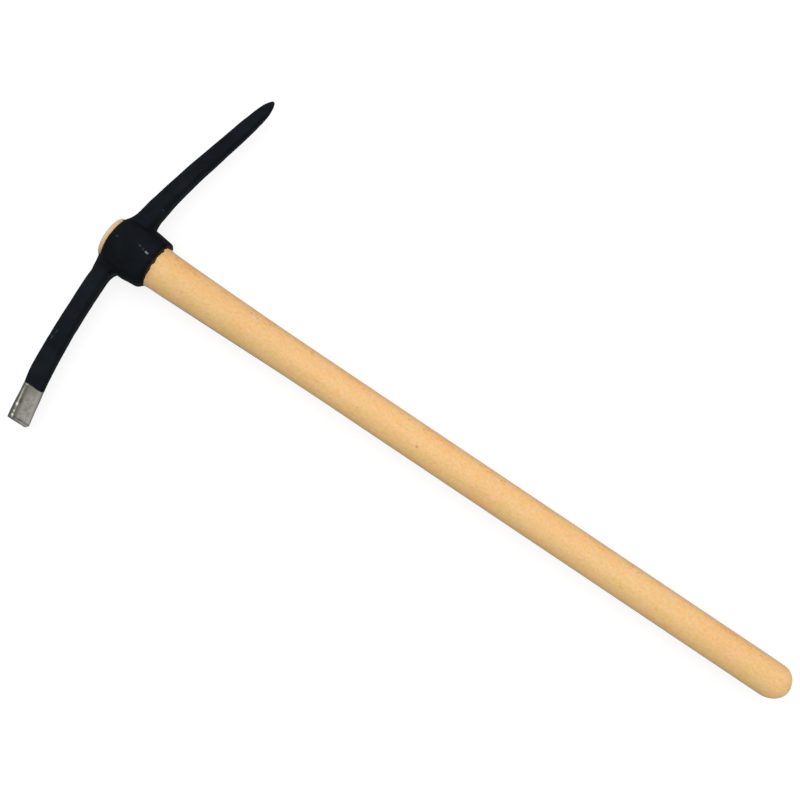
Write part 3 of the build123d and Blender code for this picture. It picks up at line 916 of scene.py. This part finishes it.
def build_steel_end(material):
    """The bare end of the chisel, which runs on a little way inside the paint."""
    mesh = cut_copy("pick_head", boundary_y - 0.02 * MM, keep_above=False)
    work = bmesh.new()
    work.from_mesh(mesh)
    cap = [f for f in work.faces if all(v.co.y > boundary_y - 0.05 * MM for v in f.verts)]
    grown = bmesh.ops.extrude_face_region(work, geom=cap)["geom"]
    for element in grown:
        if isinstance(element, bmesh.types.BMVert):
            element.co.y += 1.5 * MM
    bmesh.ops.delete(work, geom=cap, context="FACES")
    work.to_mesh(mesh)
    work.free()
    mesh = changed_by(mesh, "REMESH", mode="VOXEL", voxel_size=0.35 * MM)
    relax(mesh, 3)
    points, normals = points_of(mesh), normals_of(mesh)
    wave = np.clip(wobble(points, 7 * MM, 21), -1, 0) * 0.12
    skin = wobble(points, 1.2 * MM, 22, stretch=(6, 1, 1)) * 0.02
    points += normals * ((wave + skin - 0.03) * MM)[:, None]
    out = (boundary_y - points[:, 1]) / ground_length
    points[:, 0] -= STEEL_SET_UP * MM * eased((out - 0.2) / 0.4)
    nicked = np.clip(-normals[:, 0], 0, 1) * eased(out / 0.1)
    nicks = np.clip(wobble(points, 5 * MM, 23, stretch=(4, 1, 4)), 0, 1)
    points[:, 0] += STEEL_NICKS * MM * nicked * nicks
    # What the paint covers lies a little deeper.
    points -= normals * (PAINT_DEPTH * MM * eased((points[:, 1] - boundary_y) / MM / 0.5))[:, None]
    set_points(mesh, points)
    worn_edges(mesh, 4, 0.16 * MM)

    # Where each point lies: on the facet, on its ridge, on the narrow sides. The upper and lower
    # edges are straight lines through where they lie in two places along the steel.
    share = (boundary_y - points[:, 1]) / ground_length
    first, last = 0.1, 0.85
    ends = [np.abs(share - place) < 0.03 for place in (first, last)]
    above, below = [np.array([pick(points[end, 0]) for end in ends]) for pick in (np.min, np.max)]
    run = (share - first) / (last - first)
    top = above[0] + run * (above[1] - above[0])
    bottom = below[0] + run * (below[1] - below[0])
    inward = (points[:, 0] - top) / MM - (FACET_AT_NECK + (FACET_AT_EDGE - FACET_AT_NECK) * share)
    store(mesh, "burr_glint", np.exp(-((inward / 1.15) ** 2)))
    store(mesh, "ridge", np.exp(-((inward / 0.70) ** 2)))
    store(mesh, "facet", np.clip(0.5 - inward, 0, 1))
    store(mesh, "pits", np.exp(-(((inward - 2.5) / 1.3) ** 2)))
    store(mesh, "band", np.clip(inward - 0.8, 0, 1) * np.clip((6.5 - inward) / 3.5, 0, 1))
    store(mesh, "lower", np.clip(((points[:, 0] - bottom) / MM + 5.5) / 4.5, 0, 1))
    store(mesh, "upper", np.clip(1 - (points[:, 0] - top) / (bottom - top) * 1.6, 0, 1))
    # The narrow sides, for their scale and the painted shade along the outline; the upper side is taken
    # wider.
    normals = normals_of(mesh)
    steep = np.where(normals[:, 0] < 0, 2.2, 3.6)
    store(mesh, "side", np.clip(1.55 - steep * np.abs(normals[:, 2]), 0, 1))
    return add_piece("chisel_end_steel", mesh, material, "head_steel", "pick_head")


paint = black_paint(MARKS)
steel = ground_steel()
wood = handle_wood("turned_wood", WOOD_TONES, (34, -58), 2.9, knot_list=KNOTS)
wedge_wood = handle_wood("wedge_wood", WEDGE_WOOD_TONES, (-20, 9), 1.6, flecks=0.3, flank_shade=0.0)

build_painted_head(paint)
build_steel_end(steel)
build_handle(wood)
build_wedge("wood_wedge_driven", "wood_wedge", wedge_wood, "wedge_wood", 0.4 * MM, 31)
build_wedge("steel_wedge_driven", "steel_wedge", wedge_steel(), "wedge_steel", 0.3 * MM, 41)


# -------------------------------------------------------------------- studio
def seen_directly(tree):
    """A socket that is 1 for rays from the camera, off gloss and through glass, and 0 for others."""
    path = tree.nodes.new("ShaderNodeLightPath")
    seen = path.outputs["Is Camera Ray"]
    for kind in ("Is Glossy Ray", "Is Transmission Ray"):
        either = tree.nodes.new("ShaderNodeMath")
        either.operation = "MAXIMUM"
        tree.links.new(seen, either.inputs[0])
        tree.links.new(path.outputs[kind], either.inputs[1])
        seen = either.outputs[0]
    return seen


def grey(level):
    return (level, level, level, 1)


def build_floor(half, lit, seen_lit, glow_level):
    """A plain pale floor. lit: how pale it is to light. The camera sees it as seen_lit with a
    glow of glow_level added, so that it is white and keeps a soft shadow."""
    mesh = bpy.data.meshes.new("floor")
    corners = [(-half, -half, 0), (half, -half, 0), (half, half, 0), (-half, half, 0)]
    mesh.from_pydata(corners, [], [(0, 1, 2, 3)])
    floor = bpy.data.objects.new("floor", mesh)
    scene.collection.objects.link(floor)
    material = bpy.data.materials.new("floor")
    material.use_nodes = True
    tree = material.node_tree
    tree.nodes.clear()
    diffuse = tree.nodes.new("ShaderNodeBsdfDiffuse")
    diffuse.inputs["Color"].default_value = grey(lit)
    lifted = tree.nodes.new("ShaderNodeAddShader")
    seen = tree.nodes.new("ShaderNodeBsdfDiffuse")
    seen.inputs["Color"].default_value = grey(seen_lit)
    glow = tree.nodes.new("ShaderNodeEmission")
    glow.inputs["Strength"].default_value = glow_level
    choice = tree.nodes.new("ShaderNodeMixShader")
    output = tree.nodes.new("ShaderNodeOutputMaterial")
    link = tree.links.new
    link(seen.outputs[0], lifted.inputs[0])
    link(glow.outputs[0], lifted.inputs[1])
    link(seen_directly(tree), choice.inputs[0])
    link(diffuse.outputs[0], choice.inputs[1])
    link(lifted.outputs[0], choice.inputs[2])
    link(choice.outputs[0], output.inputs[0])
    mesh.materials.append(material)


def build_world(level_at_horizon, rise, lean):
    """A soft sky: brighter by `rise` overhead and by `lean` on the side of the point, and darker
    by as much on the other side. The camera sees it plain white."""
    world = bpy.data.worlds.new("studio")
    scene.world = world
    world.use_nodes = True
    tree = world.node_tree
    tree.nodes.clear()
    level = tree.nodes.new("ShaderNodeMapRange")
    level.inputs["To Max"].default_value = 1.0
    coordinates = tree.nodes.new("ShaderNodeTexCoord")
    weighed = tree.nodes.new("ShaderNodeVectorMath")
    weighed.operation = "DOT_PRODUCT"
    weighed.inputs[1].default_value = (0, lean, rise)
    sky = tree.nodes.new("ShaderNodeMath")
    sky.inputs[1].default_value = level_at_horizon
    background = tree.nodes.new("ShaderNodeBackground")
    background.inputs["Color"].default_value = grey(1)
    output = tree.nodes.new("ShaderNodeOutputWorld")
    link = tree.links.new
    link(seen_directly(tree), level.inputs["Value"])
    link(coordinates.outputs["Generated"], weighed.inputs[0])
    link(weighed.outputs["Value"], sky.inputs[0])
    link(sky.outputs[0], level.inputs["To Min"])
    link(level.outputs[0], background.inputs["Strength"])
    link(background.outputs[0], output.inputs[0])


def add_lamp(name, place, size, power, target=(0, 0, 0)):
    """A round soft lamp that faces the target (metres, watts)."""
    lamp = bpy.data.lights.new(name, "AREA")
    lamp.shape = "DISK"
    lamp.size = size
    lamp.energy = power
    holder = bpy.data.objects.new(name, lamp)
    scene.collection.objects.link(holder)
    holder.location = place
    holder.rotation_euler = (Vector(target) - Vector(place)).to_track_quat("-Z", "Y").to_euler()


def add_camera(place, turn, lens):
    """It looks straight down, turned (degrees) so that the handle runs down to the right."""
    camera = bpy.data.cameras.new("camera")
    camera.sensor_width = 36
    camera.lens = lens
    camera.clip_start = 0.01
    holder = bpy.data.objects.new("camera", camera)
    scene.collection.objects.link(holder)
    holder.location = place
    holder.rotation_euler = (0, 0, math.radians(turn))
    scene.camera = holder


build_floor(half=4.0, lit=0.62, seen_lit=0.23, glow_level=0.815)
build_world(level_at_horizon=0.34, rise=0.36, lean=0.17)
add_lamp("softbox", (-0.15, 0.50, 2.35), size=2.2, power=30)
add_camera((-0.08465, axis_y + 0.028, axis_z + 1.050), turn=33.83, lens=42.725)
scene.view_settings.view_transform = "Standard"
